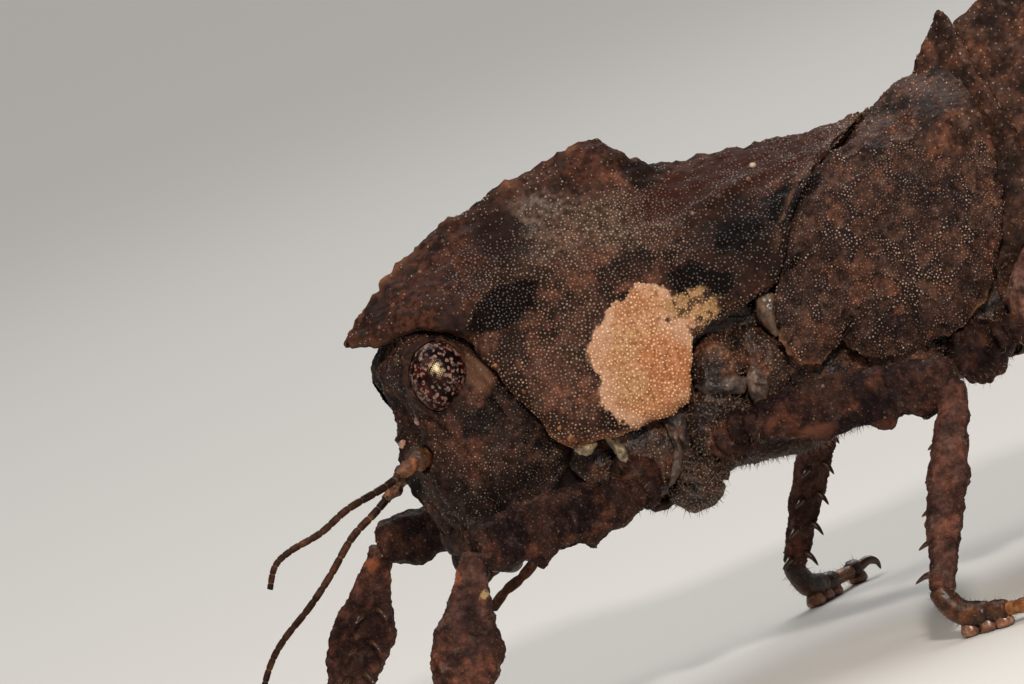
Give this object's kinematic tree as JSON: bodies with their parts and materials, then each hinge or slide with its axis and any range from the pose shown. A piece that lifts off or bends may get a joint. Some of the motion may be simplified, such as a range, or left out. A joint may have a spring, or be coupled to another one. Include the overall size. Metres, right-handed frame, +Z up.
{
  "type": "bark-mimicking grasshopper",
  "caption": "Still, life-size grasshopper with a tall hooded back plate, small wing lobes, a toothed abdomen ridge and lobed, bark-like legs, standing on its feet.",
  "frame": {"origin": "on the floor under the middle of the animal's box", "axes": "+X from head to tail, the left side faces -Y, +Z up"},
  "size_m": [0.039, 0.0206, 0.0133],
  "materials": {
    "cuticle": "finely granular, dull with small glints",
    "pronotum": "granular brown with a cream and orange patch on each side",
    "wing": "leathery, netted with raised veins",
    "eye": "glossy, faceted, flecked with cream",
    "feeler": "dull dark brown",
    "foot": "horny, slightly glossy"
  },
  "bodies": {
    "root": {"abdomen": "cuticle", "antenna_left": "feeler", "antenna_right": "feeler", "cercus_left": "cuticle", "cercus_right": "cuticle", "epiproct": "cuticle", "eye_left": "eye", "eye_right": "eye", "fore_coxa_left": "cuticle", "fore_coxa_right": "cuticle", "fore_femur_left": "cuticle", "fore_femur_right": "cuticle", "fore_tarsus_left": "foot", "fore_tarsus_right": "foot", "fore_tibia_left": "cuticle", "fore_tibia_right": "cuticle", "head": "cuticle", "hind_coxa_left": "cuticle", "hind_coxa_right": "cuticle", "hind_femur_left": "cuticle", "hind_femur_right": "cuticle", "hind_tarsus_left": "foot", "hind_tarsus_right": "foot", "hind_tibia_left": "cuticle", "hind_tibia_right": "cuticle", "labrum": "cuticle", "mandible_left": "cuticle", "mandible_right": "cuticle", "mid_coxa_left": "cuticle", "mid_coxa_right": "cuticle", "mid_femur_left": "cuticle", "mid_femur_right": "cuticle", "mid_tarsus_left": "foot", "mid_tarsus_right": "foot", "mid_tibia_left": "cuticle", "mid_tibia_right": "cuticle", "palp_left": "feeler", "palp_right": "feeler", "pronotum": "pronotum", "prothorax": "cuticle", "pterothorax": "cuticle", "tegmen_left": "wing", "tegmen_right": "wing", "valve_lower_left": "cuticle", "valve_lower_right": "cuticle", "valve_upper_left": "cuticle", "valve_upper_right": "cuticle"}
  },
  "joints": []
}
